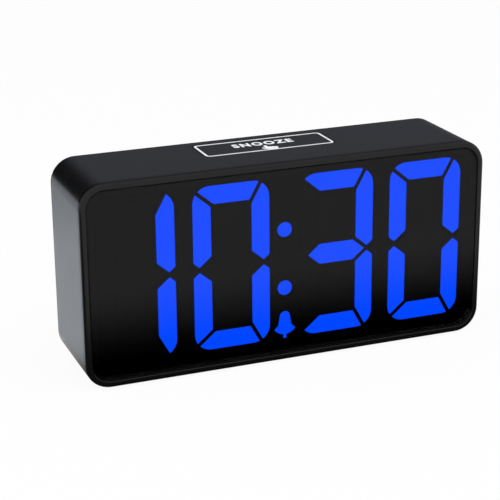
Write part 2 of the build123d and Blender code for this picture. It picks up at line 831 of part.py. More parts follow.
def make_battery_door():
    """A flat door that turns on two stub pins at its round lower edge, with a latch tongue at the top."""
    top = bay_z + door_height / 2
    plate = Pos(0, (hinge_z + top) / 2) * Rectangle(door_width, top - hinge_z)
    door = slab(plate, cover_back_y - door_thickness, cover_back_y)
    door += Pos(0, hinge_y, hinge_z) * Rot(0, 90, 0) * Cylinder(door_thickness / 2, door_width)
    slot_x = (latch_width + latch_slot) / 2
    slot = Rectangle(latch_slot, latch_length + latch_slot)
    for x in (-slot_x, slot_x):
        door -= slab(Pos(x, top - latch_length / 2) * slot, cover_front_y - cut, cover_back_y + cut)
    for i in range(latch_ridges):
        groove_z = top - (i + 1) * latch_ridge_pitch
        groove = Pos(0, groove_z) * Rectangle(latch_width - 2 * latch_slot, latch_ridge_pitch / 2)
        door -= slab(groove, cover_back_y - latch_ridge_depth, cover_back_y + cut)
    pins = Cylinder(pin_radius, door_width + 2 * pin_length)
    return door + Pos(0, hinge_y, hinge_z) * Rot(0, 90, 0) * pins


def cell_middle(side):
    """The middle of one cell's end, as depth and height."""
    return cover_front_y - bay_depth / 2, bay_z + side * bay_height / 4


def contact_plate(end, side):
    """A square contact on one end wall of the bay."""
    y, z = cell_middle(side)
    x = end * (bay_length - contact_thickness) / 2
    return Pos(x, y, z) * Box(contact_thickness, contact_size, contact_size)


def make_battery_plates():
    """Four contact plates on the end walls; two of them have a raised button for a cell's other end."""
    plates = []
    for end in (-1, 1):
        for side in (-1, 1):
            plate = contact_plate(end, side)
            if end == side:
                y, z = cell_middle(side)
                x = end * (bay_length / 2 - contact_thickness - button_height / 2)
                button = Cylinder(button_radius, button_height + contact_thickness)
                plate += Pos(x, y, z) * Rot(0, 90, 0) * button
            plates.append(plate)
    return group(plates)


def make_battery_springs():
    """Two cone springs, each standing on a contact plate."""
    path = Helix(spring_pitch, spring_height, spring_base_radius, cone_angle=-spring_cone_angle)
    wire = Plane(path @ 0, z_dir=path % 0) * Circle(spring_wire_radius)
    coil = sweep(wire, path=path, is_frenet=True)
    springs = []
    for end in (-1, 1):
        y, z = cell_middle(-end)
        x = end * (bay_length / 2 - contact_thickness - spring_wire_radius - press_gap)
        springs.append(Pos(x, y, z) * Rot(0, -90 * end, 0) * coil)
    return group(springs)


def make_clock_chip():
    """The clock's chip, on the front of the control board."""
    body = Pos(0, control_z) * Rectangle(chip_length, chip_width)
    return slab(body, control_board_front_y - chip_height, control_board_front_y)


def make_quartz_crystal():
    """The flat can of the quartz crystal, beside the chip."""
    can = Pos(crystal_offset, control_z) * SlotOverall(crystal_length, crystal_width)
    return slab(can, control_board_front_y - crystal_height, control_board_front_y)


def make_smoothing_capacitor():
    """The smoothing capacitor, halfway between the power inlet and the potentiometer."""
    z = (jack_z + jack_height / 2 + pot_top_z() - pot_height) / 2
    place = disc(jack_x, z, capacitor_radius)
    return slab(place, control_board_back_y, control_board_back_y + capacitor_height)


faces = display_faces()
pieces = {
    "front_bezel": make_front_bezel(),
    "display_window": make_display_window(),
    "display_reflector": make_display_reflector(faces),
    "segment_leds": make_segment_leds(faces),
    "display_board": make_display_board(),
    "header_strips": make_header_strips(),
    "header_pins": make_header_pins(),
    "case_shell": make_case_shell(),
    "rubber_feet": make_rubber_feet(),
    "snooze_key": make_snooze_key(),
    "snooze_switch": make_snooze_switch(),
    "snooze_plunger": make_snooze_plunger(),
    "rear_cover": make_rear_cover(),
    "cover_screws": make_cover_screws(),
    "control_board": make_control_board(),
    "board_screws": make_board_screws(),
    "key_switches": make_key_switches(),
    "alarm_slider": make_slider(alarm_x),
    "alarm_switch": make_slide_switch(alarm_x),
    "volume_slider": make_slider(volume_x),
    "volume_switch": make_slide_switch(volume_x),
    "dimmer_wheel": make_dimmer_wheel(),
    "dimmer_shaft": make_dimmer_shaft(),
    "dimmer_pot": make_dimmer_pot(),
    "dc_jack": make_dc_jack(),
    "dc_jack_pin": make_dc_jack_pin(),
    "buzzer": make_buzzer(),
    "clock_chip": make_clock_chip(),
    "quartz_crystal": make_quartz_crystal(),
    "smoothing_capacitor": make_smoothing_capacitor(),
    "battery_box": make_battery_box(),
    "battery_plates": make_battery_plates(),
    "battery_springs": make_battery_springs(),
    "battery_door": make_battery_door(),
}
for name, x in zip(("time", "alarm", "hour", "minute"), key_places):
    pieces[f"{name}_key"] = make_key(x)
    pieces[f"{name}_plunger"] = make_plunger(x)
for node in dict.fromkeys(node for node, outline, middle in faces):
    pieces[node] = group([slab(outline, face_y, face_y + segment_thickness)
                          for name, outline, middle in faces if name == node])

os.makedirs("parts", exist_ok=True)
for name, shape in pieces.items():
    export_step(shape, f"parts/{name}.step")
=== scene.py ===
import bmesh
import bpy
import numpy as np
from mathutils import Matrix, Vector
from mathutils.geometry import tessellate_polygon


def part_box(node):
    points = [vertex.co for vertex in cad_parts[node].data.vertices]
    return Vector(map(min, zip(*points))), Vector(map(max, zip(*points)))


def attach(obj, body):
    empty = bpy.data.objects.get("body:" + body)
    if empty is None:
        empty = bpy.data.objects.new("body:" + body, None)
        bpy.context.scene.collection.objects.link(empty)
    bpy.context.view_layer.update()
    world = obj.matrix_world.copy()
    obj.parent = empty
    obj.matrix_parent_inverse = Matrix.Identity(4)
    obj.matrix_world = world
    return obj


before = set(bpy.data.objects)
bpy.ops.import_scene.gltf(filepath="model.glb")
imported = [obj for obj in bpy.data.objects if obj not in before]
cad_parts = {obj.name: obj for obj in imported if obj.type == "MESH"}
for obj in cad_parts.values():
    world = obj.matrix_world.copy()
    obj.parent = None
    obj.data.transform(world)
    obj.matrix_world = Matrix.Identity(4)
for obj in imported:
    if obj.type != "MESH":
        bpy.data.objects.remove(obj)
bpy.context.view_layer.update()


# The display board and its lamps: a glass-fibre board under a dark green lacquer, with copper tracks that
# show through it, and one small white lamp soldered behind each segment. The bezel's skirt clamps its edge
# against a ledge in the case.

MILLIMETRE = 0.001
NOISE_LOW, NOISE_HIGH = 0.3, 0.7


def add(owner, kind, inputs=None, **settings):
    """A node of that kind: settings are its own attributes, inputs are values or other nodes' outputs."""
    node = owner.node_tree.nodes.new(kind)
    for name, value in settings.items():
        setattr(node, name, value)
    for name, value in (inputs or {}).items():
        if isinstance(value, bpy.types.NodeSocket):
            owner.node_tree.links.new(value, node.inputs[name])
        else:
            node.inputs[name].default_value = value
    return node


def new_finish(name, **sockets):
    """A material with its one shader; sockets are constants set on the shader itself."""
    material = bpy.data.materials.new(name)
    material.use_nodes = True
    shader = material.node_tree.nodes["Principled BSDF"]
    for socket, value in sockets.items():
        shader.inputs[socket.replace("_", " ")].default_value = value
    return material, shader


def own_place(material):
    """The place of a point in the clock's own frame."""
    return add(material, "ShaderNodeTexCoord").outputs["Object"]


def mottle(material, lump, low, high, detail=3.0, stretch=(1.0, 1.0, 1.0)):
    """Noise with lumps of about that size in millimetres, spread from low to high; stretch draws it out."""
    drawn = add(material, "ShaderNodeMapping", {"Vector": own_place(material), "Scale": stretch})
    scale = 1.0 / (lump * MILLIMETRE)
    noise = add(material, "ShaderNodeTexNoise",
                {"Vector": drawn.outputs["Vector"], "Scale": scale, "Detail": detail})
    spread = add(material, "ShaderNodeMapRange",
                 {"Value": noise.outputs["Fac"], "From Min": NOISE_LOW, "From Max": NOISE_HIGH,
                  "To Min": low, "To Max": high})
    return spread.outputs["Result"]


def between(material, share, first, second):
    """A colour between two, by a share from 0 to 1."""
    mix = add(material, "ShaderNodeMix", data_type="RGBA")
    material.node_tree.links.new(share, mix.inputs["Factor"])
    mix.inputs["A"].default_value = (*first, 1.0)
    mix.inputs["B"].default_value = (*second, 1.0)
    return mix.outputs["Result"]


def feed(material, shader, **sources):
    """Joins node outputs to sockets of the shader."""
    for socket, source in sources.items():
        material.node_tree.links.new(source, shader.inputs[socket.replace("_", " ")])


def relief(material, shader, height, depth):
    """Raises the surface by height, a value from 0 to 1, times a depth in millimetres."""
    bump = add(material, "ShaderNodeBump",
               {"Height": height, "Distance": depth * MILLIMETRE, "Strength": 1.0})
    feed(material, shader, Normal=bump.outputs["Normal"])


def dress(material, *names):
    """Gives this finish to every material slot of the named nodes."""
    for name in names:
        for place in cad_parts[name].material_slots:
            place.material = material


BOARD_LACQUER = (0.012, 0.085, 0.040)
BOARD_COPPER = (0.030, 0.150, 0.070)
BOARD_ROUGHNESS = 0.35
TRACK_PITCH = 1.6
TRACK_HEIGHT = 0.035
TRACK_EDGE_LOW, TRACK_EDGE_HIGH = 0.35, 0.6
TRACK_BREAK_LOW, TRACK_BREAK_HIGH = -2.5, 3.0
TRACK_REGIONS = {"X": 9.0, "Z": 13.0}


def lacquered_board(name):
    """Lacquer over upright and level tracks: each set is a comb of sines, broken off by broad noise."""
    material, shader = new_finish(name, Roughness=BOARD_ROUGHNESS)
    split = add(material, "ShaderNodeSeparateXYZ", {"Vector": own_place(material)})
    turns = 2 * np.pi / (TRACK_PITCH * MILLIMETRE)
    combs = []
    for axis, region in TRACK_REGIONS.items():
        phase = add(material, "ShaderNodeMath", {0: split.outputs[axis], 1: turns}, operation="MULTIPLY")
        wave = add(material, "ShaderNodeMath", {0: phase.outputs[0]}, operation="SINE")
        ridge = add(material, "ShaderNodeMapRange",
                    {"Value": wave.outputs[0], "From Min": TRACK_EDGE_LOW, "From Max": TRACK_EDGE_HIGH})
        breaks = mottle(material, region, TRACK_BREAK_LOW, TRACK_BREAK_HIGH, detail=0.0)
        kept = add(material, "ShaderNodeMath", {0: ridge.outputs["Result"], 1: breaks},
                   operation="MULTIPLY", use_clamp=True)
        combs.append(kept.outputs[0])
    tracks = add(material, "ShaderNodeMath", {0: combs[0], 1: combs[1]}, operation="MAXIMUM").outputs[0]
    feed(material, shader, Base_Color=between(material, tracks, BOARD_LACQUER, BOARD_COPPER))
    relief(material, shader, tracks, TRACK_HEIGHT)
    return material


board_finish = lacquered_board("board_lacquer")
dress(board_finish, "display_board")

SHADE_LUMP, POLISH_LUMP = 14.0, 5.0
LAMP_WHITE = (0.72, 0.72, 0.66)


def moulded(name, colour, roughness, lump, depth, shade=0.12, specular=0.5, polish=0.04):
    """Moulded plastic: a spark-eroded grain of fine lumps, with slow changes of shade and of polish."""
    material, shader = new_finish(name, Specular_IOR_Level=specular)
    dark = tuple(c * (1 - shade) for c in colour)
    light = tuple(c * (1 + shade) for c in colour)
    feed(material, shader,
         Base_Color=between(material, mottle(material, SHADE_LUMP, 0.0, 1.0), dark, light),
         Roughness=mottle(material, POLISH_LUMP, roughness - polish, roughness + polish))
    relief(material, shader, mottle(material, lump, 0.0, 1.0, detail=2.0), depth)
    return material


lamp_finish = moulded("lamp_resin", LAMP_WHITE, roughness=0.35, lump=0.3, depth=0.004, shade=0.05)
dress(lamp_finish, "segment_leds")


# The reflector: a block of matt black plastic with one stepped cell for each segment, pegged to the board.
# Its front is the dark ground that the digits stand on.

GROUND_BLACK = (0.0016, 0.0016, 0.0018)
ground_finish = moulded("reflector_ground", GROUND_BLACK, roughness=0.8, lump=0.25, depth=0.004,
                        specular=0.02)
dress(ground_finish, "display_reflector")


# The digits, the colon and the bell: milky diffusers of moulded resin, pressed into the reflector's cells.
# The lit ones glow an even blue; the unlit ones are dark-dyed, so that they vanish against the ground.

WINDOW_TINT = 0.42
DIGIT_BLUE = (0.0, 0.0605, 1.0)
DIGIT_LIFT = 1.04
DIFFUSER_BLUE = (0.0, 0.002, 0.03)
FLECK, FLECK_SPREAD = 0.8, 0.02
DIFFUSER_LUMP, DIFFUSER_DEPTH = 0.3, 0.004


def glowing(name, colour, strength):
    """A lit diffuser: the lamp's colour, its strength spread a little by the resin's fine flecks."""
    material, shader = new_finish(name, Base_Color=(*DIFFUSER_BLUE, 1.0), Roughness=0.6,
                                  Emission_Color=(*colour, 1.0), Specular_IOR_Level=0.02)
    dimmest, brightest = (1 - FLECK_SPREAD) * strength, (1 + FLECK_SPREAD) * strength
    feed(material, shader, Emission_Strength=mottle(material, FLECK, dimmest, brightest))
    relief(material, shader, mottle(material, DIFFUSER_LUMP, 0.0, 1.0), DIFFUSER_DEPTH)
    return material


digit_names = ("hour_tens", "hour_units", "minute_tens", "minute_units")
lit_finish = glowing("lit_segment", DIGIT_BLUE, DIGIT_LIFT / WINDOW_TINT)
dress(lit_finish, *[f"{name}_lit" for name in digit_names], "colon_dots", "alarm_bell")

UNLIT_BLACK = (0.0019, 0.0019, 0.0023)
unlit_finish = moulded("unlit_segment", UNLIT_BLACK, roughness=0.7, lump=DIFFUSER_LUMP,
                       depth=DIFFUSER_DEPTH, specular=0.02)
dress(unlit_finish, *[f"{name}_dark" for name in digit_names])


# The pin header between the two boards: a black strip of nylon on each board, and a row of gilt brass pins
# pressed through both.

STRIP_BLACK = (0.014, 0.014, 0.015)
strip_finish = moulded("component_nylon", STRIP_BLACK, roughness=0.45, lump=0.2, depth=0.006)
dress(strip_finish, "header_strips")

GILT = (0.83, 0.62, 0.27)
DRAW_SHADE, DRAW_POLISH, DRAW_DEPTH = 0.82, 0.06, 0.004


def drawn_metal(name, colour, roughness, stretch, lump=0.6):
    """Bare or plated metal: fine draw lines along one axis change its polish and its shade a little."""
    material, shader = new_finish(name, Metallic=1.0)
    lines = mottle(material, lump, 0.0, 1.0, detail=4.0, stretch=stretch)
    polish = mottle(material, lump, roughness - DRAW_POLISH, roughness + DRAW_POLISH, stretch=stretch)
    dark = tuple(DRAW_SHADE * c for c in colour)
    feed(material, shader, Base_Color=between(material, lines, dark, colour), Roughness=polish)
    relief(material, shader, lines, DRAW_DEPTH)
    return material


pin_finish = drawn_metal("gilt_brass", GILT, roughness=0.25, stretch=(1.0, 0.1, 1.0))
dress(pin_finish, "header_pins")


# The window: a flat pane of smoked acrylic, polished on both sides, that drops into the bezel in front.
# Its smoke hides the unlit segments. A black border printed on its back hides the shelf that it lies on.
# It mirrors less than bare acrylic does, so its index is set lower.

PANE_INDEX = 1.232
PANE_POLISH, PANE_POLISH_SPREAD = 0.05, 0.02
PANE_LUMP = 20.0
pane_finish, pane_shader = new_finish("smoked_acrylic", Transmission_Weight=1.0, IOR=PANE_INDEX,
                                      Base_Color=(WINDOW_TINT, WINDOW_TINT, WINDOW_TINT, 1.0))
pane_roughness = mottle(pane_finish, PANE_LUMP, PANE_POLISH - PANE_POLISH_SPREAD,
                        PANE_POLISH + PANE_POLISH_SPREAD, detail=2.0)
feed(pane_finish, pane_shader, Roughness=pane_roughness)
dress(pane_finish, "display_window")

BORDER_WIDTH = 2.2 * MILLIMETRE
BORDER_INSET = 0.12 * MILLIMETRE
BORDER_THICKNESS = 0.03 * MILLIMETRE
PANE_CORNER = 5.75 * MILLIMETRE
BORDER_BLACK = (0.0016, 0.0016, 0.0017)
border_finish = moulded("border_ink", BORDER_BLACK, roughness=0.09, lump=0.4, depth=0.0002, specular=0.15)


def sheet_faces(rows, columns, closed):
    """The corner numbers of a grid's quads; a closed grid joins its last row to its first."""
    row = np.arange(rows if closed else rows - 1)[:, None]
    column = np.arange(columns - 1)[None, :]
    after = (row + 1) % rows
    corners = (row * columns + column, row * columns + column + 1, after * columns + column + 1,
               after * columns + column)
    return np.stack(corners, axis=-1).reshape(-1, 4)


def rounded_line(length, height, corner, width, steps=14):
    """A flat line round a rounded rectangle: each corner's centre plus a radius times the cosine and sine of
    an angle over a quarter turn. The radius is the corner's own outside, and less by the width inside."""
    turn = np.linspace(0, np.pi / 2, steps)
    quarter = np.repeat(np.arange(4), steps)
    angle = np.tile(turn, 4) + quarter * np.pi / 2
    out = np.column_stack((np.cos(angle), np.sin(angle)))
    sides = np.array(((1, 1), (-1, 1), (-1, -1), (1, -1)))[quarter]
    centre = sides * (np.array((length, height)) / 2 - corner)
    edges = [centre + out * max(corner - inset, 0.0) for inset in (0.0, width)]
    return np.stack(edges, axis=1).reshape(-1, 2), sheet_faces(4 * steps, 2, closed=True)


def film(name, points, faces, finish, thickness, body):
    """A flat piece from points and faces that look out of the surface, thickened down into it."""
    mesh = bpy.data.meshes.new(name)
    mesh.from_pydata(points.tolist(), [], np.asarray(faces).tolist())
    mesh.materials.append(finish)
    sheet = bpy.data.objects.new(name, mesh)
    bpy.context.collection.objects.link(sheet)
    sheet.modifiers.new("thickness", "SOLIDIFY").thickness = thickness
    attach(sheet, body)


pane_low, pane_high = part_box("display_window")
pane_size = pane_high - pane_low
pane_middle = (pane_high + pane_low) / 2
border_points, border_faces = rounded_line(pane_size.x - 2 * BORDER_INSET, pane_size.z - 2 * BORDER_INSET,
                                           PANE_CORNER - BORDER_INSET, BORDER_WIDTH)
border_depth = np.full(len(border_points), pane_high.y - 2 * BORDER_THICKNESS)
border_place = np.column_stack((border_points[:, 0] + pane_middle.x, border_depth,
                                border_points[:, 1] + pane_middle.z))
film("window_border", border_place, border_faces[:, ::-1], border_finish, BORDER_THICKNESS,
     "clock")


# The bezel: a frame of black plastic with a softly rounded front edge and a fine, almost glossy surface.
# A lap and a skirt behind it go into the case, where snap beads hold it.

BEZEL_BLACK = (0.0048, 0.0048, 0.0050)
bezel_finish = moulded("bezel_plastic", BEZEL_BLACK, roughness=0.19, lump=0.35, depth=0.0008,
                       specular=0.25, polish=0.02)
dress(bezel_finish, "front_bezel")


# The case: a sleeve of black plastic moulded in one piece, with a fine satin grain from its tool.
# The bezel closes it at the front and the cover at the back.

CASE_BLACK = (0.0052, 0.0053, 0.0058)
case_finish = moulded("case_plastic", CASE_BLACK, roughness=0.25, lump=0.28, depth=0.0012,
                      shade=0.06, polish=0.012)
dress(case_finish, "case_shell")


# The feet: four round pads of black rubber with a dull skin.
# They are glued into shallow pockets under the case.

FOOT_BLACK = (0.018, 0.018, 0.018)
foot_finish = moulded("foot_rubber", FOOT_BLACK, roughness=0.78, lump=0.5, depth=0.02, specular=0.3)
dress(foot_finish, "rubber_feet")


# The snooze key: a hollow bar of the case's plastic that stands flush in its collar and works a push switch.
# A white frame line, the word for what it does and a pressing hand are screen printed on it. Its box takes
# in the tabs that hold it under the case, so the length of its top is given here.

dress(case_finish, "snooze_key")
dress(strip_finish, "snooze_switch")
dress(lamp_finish, "snooze_plunger")

INK_WHITE = (0.92, 0.92, 0.95)
INK_THIN = 0.93
INK_GREY = tuple(INK_THIN * c for c in INK_WHITE)
INK_SHADE_LUMP, INK_POLISH_LUMP = 0.5, 1.0
INK_SMOOTH, INK_DULL = 0.45, 0.6
INK_THICKNESS = 0.03 * MILLIMETRE
ink_finish, ink_shader = new_finish("print_ink", Specular_IOR_Level=0.3)
ink_shade = mottle(ink_finish, INK_SHADE_LUMP, 0.0, 1.0)
feed(ink_finish, ink_shader,
     Base_Color=between(ink_finish, ink_shade, INK_GREY, INK_WHITE),
     Roughness=mottle(ink_finish, INK_POLISH_LUMP, INK_SMOOTH, INK_DULL))

KEY_LENGTH = 44.2 * MILLIMETRE
LINE_WIDTH = 0.75 * MILLIMETRE
LINE_MARGIN = 0.38 * MILLIMETRE
LINE_CORNER = 1.6 * MILLIMETRE
key_low, key_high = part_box("snooze_key")
key_middle = np.array(((key_low.x + key_high.x) / 2, (key_low.y + key_high.y) / 2))
key_depth = key_high.y - key_low.y


def printed(name, points, faces):
    """Ink on the key: flat points laid at the key's top."""
    place = np.column_stack((points, np.full(len(points), key_high.z + INK_THICKNESS / 2)))
    film(name, place, faces, ink_finish, INK_THICKNESS, "snooze")


line_points, line_faces = rounded_line(KEY_LENGTH - 2 * LINE_MARGIN, key_depth - 2 * LINE_MARGIN,
                                       LINE_CORNER, LINE_WIDTH)
printed("snooze_frame_line", line_points + key_middle, line_faces[:, ::-1])

WORD_SIZE = np.array((20.4, 4.0)) * MILLIMETRE
WORD_RISE = 1.4 * MILLIMETRE
WORD_BOLDNESS, WORD_SPACING = 0.05, 1.28


def word_outline(text, boldness, spacing):
    """The letters of a word as flat points and triangles, in the plain built-in type, evenly filled."""
    curve = bpy.data.curves.new("word", "FONT")
    curve.body = text
    curve.offset = boldness
    curve.space_character = spacing
    letters = bpy.data.objects.new("word", curve)
    bpy.context.collection.objects.link(letters)
    seen = letters.evaluated_get(bpy.context.evaluated_depsgraph_get())
    mesh = bpy.data.meshes.new_from_object(seen)
    shape = bmesh.new()
    shape.from_mesh(mesh)
    bmesh.ops.triangulate(shape, faces=shape.faces)
    bmesh.ops.beautify_fill(shape, faces=shape.faces, edges=shape.edges)
    shape.to_mesh(mesh)
    shape.free()
    mesh.calc_loop_triangles()
    points = np.zeros(3 * len(mesh.vertices))
    mesh.vertices.foreach_get("co", points)
    corners = np.zeros(3 * len(mesh.loop_triangles), dtype=int)
    mesh.loop_triangles.foreach_get("vertices", corners)
    bpy.data.objects.remove(letters)
    bpy.data.meshes.remove(mesh)
    return points.reshape(-1, 3)[:, :2], corners.reshape(-1, 3)


word_points, word_faces = word_outline("SNOOZE", WORD_BOLDNESS, WORD_SPACING)
word_low, word_high = word_points.min(axis=0), word_points.max(axis=0)
word_points = (word_points - (word_low + word_high) / 2) * WORD_SIZE / (word_high - word_low)
printed("snooze_word", word_points + key_middle + (0.0, WORD_RISE), word_faces)

WRIST = ((2.1, -2.2), (-1.3, -2.2))
THUMB = ((-1.6, -1.5), (-2.4, -0.8), (-2.7, 0.2), (-2.1, 0.6), (-1.5, -0.2))
POINTING_FINGER = ((-1.4, 0.2), (-1.4, 2.6), (-0.2, 2.6), (-0.2, 0.6))
BENT_FINGERS = ((0.1, 0.9), (0.8, 0.8), (0.9, 0.3), (1.1, 0.7), (1.7, 0.6), (1.8, 0.1),
                (2.0, 0.4), (2.7, 0.2), (2.7, -1.0))
HAND_SHIFT, HAND_DROP = 0.4 * MILLIMETRE, 3.8 * MILLIMETRE


def softened(corners, rounds=3, cut=0.25):
    """A closed outline with its corners cut: each side keeps its middle half, a few times over."""
    outline = np.array(corners, dtype=float)
    for _ in range(rounds):
        following = np.roll(outline, -1, axis=0)
        near = (1 - cut) * outline + cut * following
        far = cut * outline + (1 - cut) * following
        outline = np.stack((near, far), axis=1).reshape(-1, 2)
    return outline


def filled(outline):
    """The triangles that fill a flat outline, all turned to look up."""
    triangles = np.array(tessellate_polygon([[Vector((x, y, 0.0)) for x, y in outline]]))
    first, second, third = (outline[triangles[:, corner]] for corner in range(3))
    side, rise = second - first, third - first
    looks_down = side[:, 0] * rise[:, 1] < side[:, 1] * rise[:, 0]
    triangles[looks_down] = triangles[looks_down][:, ::-1]
    return triangles


hand_outline = softened(WRIST + THUMB + POINTING_FINGER + BENT_FINGERS) * MILLIMETRE
printed("snooze_hand", hand_outline + key_middle + (HAND_SHIFT, -HAND_DROP), filled(hand_outline))


# The rear cover: a panel of the case's plastic with a coarser grain, let into the back of the sleeve.
# It carries the control board on its posts, and every control comes through it. A plain word for what
# each control does is screen printed over it.

cover_finish = moulded("cover_plastic", CASE_BLACK, roughness=0.40, lump=0.4, depth=0.012, shade=0.06)
dress(cover_finish, "rear_cover")

LABEL_SIZE = 2.7 * MILLIMETRE
LABEL_GAP = 1.2 * MILLIMETRE
LABEL_BOLDNESS, LABEL_SPACING = 0.0, 1.08
SLIDE_TRAVEL = 2.0 * MILLIMETRE
KEY_WORDS = {"time_key": "TIME", "alarm_key": "ALARM", "hour_key": "HOUR", "minute_key": "MINUTE",
             "dimmer_wheel": "DIMMER"}
SLIDE_WORDS = {"alarm_slider": "ALARM", "volume_slider": "VOLUME"}
cover_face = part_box("rear_cover")[1].y


def label(node, text, line, shift=0.0):
    """A word over a control: flat letters that read from behind, laid on the cover above that line."""
    points, faces = word_outline(text, LABEL_BOLDNESS, LABEL_SPACING)
    word_middle = (points[:, 0].min() + points[:, 0].max()) / 2
    node_low, node_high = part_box(node)
    across = (node_low.x + node_high.x) / 2 + shift - (points[:, 0] - word_middle) * LABEL_SIZE
    depth = np.full(len(points), cover_face + INK_THICKNESS / 2)
    place = np.column_stack((across, depth, line + LABEL_GAP + points[:, 1] * LABEL_SIZE))
    film(f"{node}_label", place, faces, ink_finish, INK_THICKNESS, "clock")


key_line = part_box("time_key")[1].z
for node, text in KEY_WORDS.items():
    label(node, text, key_line)
for node, text in SLIDE_WORDS.items():
    label(node, text, key_line, shift=SLIDE_TRAVEL / 2)
label("dc_jack", "DC IN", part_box("dc_jack")[1].z)


# The control board: the same lacquered board, screwed to the cover's posts. Soldered to it are the push
# switches, the slide switches, the dimmer's potentiometer, the inlet, the buzzer, the chip, the crystal and
# the capacitor.

key_names = ("time", "alarm", "hour", "minute")
dress(board_finish, "control_board")
dress(strip_finish, "key_switches", "dimmer_pot", "dc_jack", "buzzer", "clock_chip")
dress(lamp_finish, *[f"{name}_plunger" for name in key_names])
dress(pin_finish, "dc_jack_pin")

TIN = (0.62, 0.62, 0.60)
tin_finish = drawn_metal("tinned_steel", TIN, roughness=0.34, stretch=(0.15, 1.0, 1.0))
dress(tin_finish, "alarm_switch", "volume_switch", "quartz_crystal", "dimmer_shaft")

SLEEVE_BLUE = (0.010, 0.012, 0.045)
sleeve_finish = moulded("capacitor_sleeve", SLEEVE_BLUE, roughness=0.3, lump=0.6, depth=0.003)
dress(sleeve_finish, "smoothing_capacitor")


# The setting keys, the two slide knobs and the dimmer wheel: small black mouldings with a smooth satin
# skin, held captive behind the cover by their flanges, or pressed on a shaft.

CONTROL_BLACK = (0.016, 0.016, 0.017)
control_finish = moulded("control_plastic", CONTROL_BLACK, roughness=0.38, lump=0.22, depth=0.004)
dress(control_finish, *[f"{name}_key" for name in key_names],
      "alarm_slider", "volume_slider", "dimmer_wheel")


# The screws: round-headed steel screws, blackened, driven from the back into the case and from the front
# into the cover's posts.

SCREW_BLACK = (0.16, 0.16, 0.165)
screw_finish = drawn_metal("blackened_steel", SCREW_BLACK, roughness=0.38, stretch=(1.0, 1.0, 1.0),
                           lump=0.25)
dress(screw_finish, "cover_screws", "board_screws")


# The battery bay: a tray of the case's plastic behind the cover, contacts and springs of nickelled steel,
# and a door that turns on two stub pins and is held by its latch tongue. Raised lines in the tray's floor
# show how the two cells lie, with a plus at each contact button and a minus at each spring.

dress(cover_finish, "battery_box", "battery_door")

NICKEL = (0.70, 0.68, 0.63)
nickel_finish = drawn_metal("nickelled_steel", NICKEL, roughness=0.22, stretch=(1.0, 1.0, 0.2))
dress(nickel_finish, "battery_plates", "battery_springs")

TRAY_WALL = 1.2 * MILLIMETRE
CELL_SPACING = 11.0 * MILLIMETRE
CELL_LINE = np.array((42.0, 8.6)) * MILLIMETRE
CELL_LINE_CORNER, CELL_LINE_WIDTH = 1.4 * MILLIMETRE, 0.5 * MILLIMETRE
MARK_HEIGHT, MARK_ROOT = 0.3 * MILLIMETRE, 0.06 * MILLIMETRE
MARK_PLACE = 16.5 * MILLIMETRE
ARM, HALF_STROKE = 2.0 * MILLIMETRE, 0.5 * MILLIMETRE
tray_low, tray_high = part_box("battery_box")
tray_middle = np.array(((tray_low.x + tray_high.x) / 2, (tray_low.z + tray_high.z) / 2))


def raised(name, points, faces):
    """A flat shape that looks out of the tray's mouth, raised from its floor and rooted in it."""
    depth = np.full(len(points), tray_low.y + TRAY_WALL + MARK_HEIGHT)
    place = np.column_stack((points[:, 0] + tray_middle[0], depth, points[:, 1] + tray_middle[1]))
    film(name, place, faces[:, ::-1], cover_finish, MARK_HEIGHT + MARK_ROOT, "clock")


def fanned(outline):
    """An outline with the origin added as its middle, and the triangles from its sides to that middle."""
    side = np.arange(len(outline))
    following = (side + 1) % len(outline)
    middle = np.full_like(side, len(outline))
    return np.vstack((outline, (0.0, 0.0))), np.column_stack((side, following, middle))


minus_outline = np.array(((1, 1), (-1, 1), (-1, -1), (1, -1))) * (ARM, HALF_STROKE)
plus_corner = np.array(((HALF_STROKE, HALF_STROKE), (HALF_STROKE, ARM), (-HALF_STROKE, ARM)))
quarter_turns = [np.array(((np.cos(turn), np.sin(turn)), (-np.sin(turn), np.cos(turn)))).round()
                 for turn in np.arange(4) * np.pi / 2]
plus_outline = np.vstack([plus_corner @ turned for turned in quarter_turns])
cell_points, cell_faces = rounded_line(*CELL_LINE, CELL_LINE_CORNER, CELL_LINE_WIDTH)
for side, row in ((-1, "low"), (1, "high")):
    cell_middle = np.array((0.0, side * CELL_SPACING / 2))
    raised(f"cell_line_{row}", cell_points + cell_middle, cell_faces[:, ::-1])
    for end, outline, mark in ((side, plus_outline, "plus"), (-side, minus_outline, "minus")):
        mark_points, mark_faces = fanned(outline)
        raised(f"{mark}_mark_{row}", mark_points + cell_middle + (end * MARK_PLACE, 0.0), mark_faces)


# The stage: a wide pale floor, and six cards that only mirrored and transmitted light meets. They paint
# reflections and shade into the gloss. A dim glowing one stands behind the clock and paints the sheen of its
# top. Five lie on the floor: their glow paints the sheen of the left side and the lit floor seen in the
# window, and their dark parts paint the clock's shadow into the window's foot, the left side and the
# rounding of the rim.

FLOOR_SIDE = 8.0
FLOOR_WHITE = 0.86
FLOOR_SHADOW = 0.06


def white_to_view(owner, lit, shadow, output):
    """White to camera, mirrored and transmitted rays, less a share that keeps the shading; else lit."""
    path = add(owner, "ShaderNodeLightPath")
    viewed = add(owner, "ShaderNodeMath",
                 {0: path.outputs["Is Camera Ray"], 1: path.outputs["Is Glossy Ray"]}, operation="MAXIMUM")
    met = add(owner, "ShaderNodeMath",
              {0: viewed.outputs[0], 1: path.outputs["Is Transmission Ray"]}, operation="MAXIMUM")
    share = add(owner, "ShaderNodeMath", {0: met.outputs[0], 1: 1.0 - shadow}, operation="MULTIPLY")
    white = add(owner, "ShaderNodeEmission")
    mix = add(owner, "ShaderNodeMixShader", {0: share.outputs[0], 1: lit, 2: white.outputs[0]})
    owner.node_tree.links.new(mix.outputs[0], owner.node_tree.nodes[output].inputs["Surface"])


def rectangle(left, right, low, high):
    """The four corners of a flat rectangle, in turn."""
    return [(left, low), (right, low), (right, high), (left, high)]


